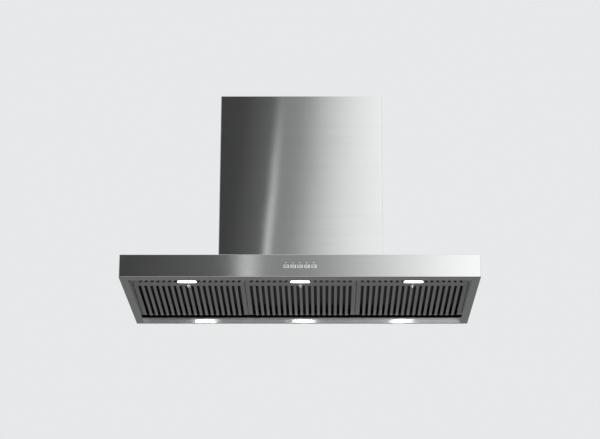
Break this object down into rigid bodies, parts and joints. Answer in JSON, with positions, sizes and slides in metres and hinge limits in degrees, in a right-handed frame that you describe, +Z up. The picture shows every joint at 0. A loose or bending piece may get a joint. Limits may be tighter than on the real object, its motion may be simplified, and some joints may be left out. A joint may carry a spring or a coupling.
{
  "type": "wall mount range hood",
  "caption": "Wall mount range hood: slim box canopy in brushed steel with baffle filters, front lamps, push buttons and a rectangular chimney over a centrifugal blower.",
  "frame": {"origin": "on the wall face, in the middle, at the height of the bottom rim", "axes": "+X to the right seen from the front, +Y into the wall, +Z up"},
  "size_m": [1.2, 0.6028, 0.732],
  "materials": {
    "stainless": "horizontal grain, satin",
    "back_sheet": "mill",
    "rail_steel": "horizontal grain, fine",
    "lamp_panel_steel": "fine satin, near mirror",
    "lamp_case": "cast",
    "lamp_lens": "frosted, lit",
    "filter_frame_steel": "satin",
    "slat_steel": "satin",
    "knob_steel": "turned",
    "cam_steel": "pressed",
    "button_metal": "satin chrome",
    "circuit_board": "solder resist",
    "black_plastic": "moulded",
    "case_plastic": "moulded",
    "light_pipe": "clear",
    "galvanised": "zinc spangle",
    "motor_paint": "semi-gloss",
    "capacitor_case": "smooth",
    "bright_steel": "bright zinc"
  },
  "bodies": {
    "hood": {"canopy_shell": "stainless", "back_panel": "back_sheet", "rear_rail": "rail_steel", "lamp_panel": "lamp_panel_steel", "lamp_housing_left": "lamp_case", "lamp_housing_centre": "lamp_case", "lamp_housing_right": "lamp_case", "lamp_lens_left": "lamp_lens", "lamp_lens_centre": "lamp_lens", "lamp_lens_right": "lamp_lens", "led_boards": "circuit_board", "button_carrier": "black_plastic", "switch_board": "circuit_board", "indicator_lights": "light_pipe", "chimney_cover": "stainless", "chimney_bracket": "galvanised", "chimney_foot_brackets": "galvanised", "blower_box": "galvanised", "scroll_wrap": "galvanised", "scroll_side_left": "galvanised", "scroll_side_right": "galvanised", "motor": "motor_paint", "motor_bracket": "galvanised", "duct_collar": "black_plastic", "damper_pin": "bright_steel", "control_box": "case_plastic", "control_board": "circuit_board", "control_box_cover": "case_plastic", "cable_gland": "black_plastic", "led_driver": "case_plastic", "motor_capacitor": "capacitor_case", "hexagon_screws": "bright_steel"},
    "filter_left": {"filter_frame_left": "filter_frame_steel", "lower_slats_left": "slat_steel", "upper_slats_left": "slat_steel"},
    "latch_left": {"latch_knob_left": "knob_steel", "latch_cam_left": "cam_steel"},
    "filter_centre": {"filter_frame_centre": "filter_frame_steel", "lower_slats_centre": "slat_steel", "upper_slats_centre": "slat_steel"},
    "latch_centre": {"latch_knob_centre": "knob_steel", "latch_cam_centre": "cam_steel"},
    "filter_right": {"filter_frame_right": "filter_frame_steel", "lower_slats_right": "slat_steel", "upper_slats_right": "slat_steel"},
    "latch_right": {"latch_knob_right": "knob_steel", "latch_cam_right": "cam_steel"},
    "button_off": {"button_off": "button_metal"},
    "button_low": {"button_low": "button_metal"},
    "button_medium": {"button_medium": "button_metal"},
    "button_high": {"button_high": "button_metal"},
    "button_light": {"button_light": "button_metal"},
    "fan": {"impeller_disc": "galvanised", "impeller_blades_left": "galvanised", "impeller_blades_right": "galvanised", "impeller_ring_left": "galvanised", "impeller_ring_right": "galvanised", "motor_shaft": "bright_steel"},
    "damper_left": {"damper_flap_left": "black_plastic"},
    "damper_right": {"damper_flap_right": "black_plastic"}
  },
  "joints": [
    {"name": "filter_left_hinge", "type": "hinge", "parent": "hood", "child": "filter_left", "pos_m": [-0.382, -0.011, 0.0193], "axis": [1, 0, 0], "range_deg": [0, 70]},
    {"name": "latch_left_turn", "type": "hinge", "parent": "filter_left", "child": "latch_left", "pos_m": [-0.382, -0.40503, 0.02989], "axis": [0, 0.0461, 0.9989], "range_deg": [0, 90]},
    {"name": "filter_centre_hinge", "type": "hinge", "parent": "hood", "child": "filter_centre", "pos_m": [0, -0.011, 0.0193], "axis": [1, 0, 0], "range_deg": [0, 70]},
    {"name": "latch_centre_turn", "type": "hinge", "parent": "filter_centre", "child": "latch_centre", "pos_m": [0, -0.40503, 0.02989], "axis": [0, 0.0461, 0.9989], "range_deg": [0, 90]},
    {"name": "filter_right_hinge", "type": "hinge", "parent": "hood", "child": "filter_right", "pos_m": [0.382, -0.011, 0.0193], "axis": [1, 0, 0], "range_deg": [0, 70]},
    {"name": "latch_right_turn", "type": "hinge", "parent": "filter_right", "child": "latch_right", "pos_m": [0.382, -0.40503, 0.02989], "axis": [0, 0.0461, 0.9989], "range_deg": [0, 90]},
    {"name": "button_off_press", "type": "slide", "parent": "hood", "child": "button_off", "axis": [0, 1, 0], "range_m": [0, 0.0025], "stiffness_N_per_m": 800, "springref_m": -0.001},
    {"name": "button_low_press", "type": "slide", "parent": "hood", "child": "button_low", "axis": [0, 1, 0], "range_m": [0, 0.0025], "stiffness_N_per_m": 800, "springref_m": -0.001},
    {"name": "button_medium_press", "type": "slide", "parent": "hood", "child": "button_medium", "axis": [0, 1, 0], "range_m": [0, 0.0025], "stiffness_N_per_m": 800, "springref_m": -0.001},
    {"name": "button_high_press", "type": "slide", "parent": "hood", "child": "button_high", "axis": [0, 1, 0], "range_m": [0, 0.0025], "stiffness_N_per_m": 800, "springref_m": -0.001},
    {"name": "button_light_press", "type": "slide", "parent": "hood", "child": "button_light", "axis": [0, 1, 0], "range_m": [0, 0.0025], "stiffness_N_per_m": 800, "springref_m": -0.001},
    {"name": "fan_spin", "type": "hinge", "parent": "hood", "child": "fan", "pos_m": [0, -0.151, 0.203], "axis": [1, 0, 0], "continuous": true},
    {"name": "damper_left_swing", "type": "hinge", "parent": "hood", "child": "damper_left", "pos_m": [0, -0.215, 0.38], "axis": [0, 1, 0], "range_deg": [0, 80]},
    {"name": "damper_right_swing", "type": "hinge", "parent": "hood", "child": "damper_right", "pos_m": [0, -0.215, 0.38], "axis": [0, -1, 0], "range_deg": [0, 80]}
  ]
}
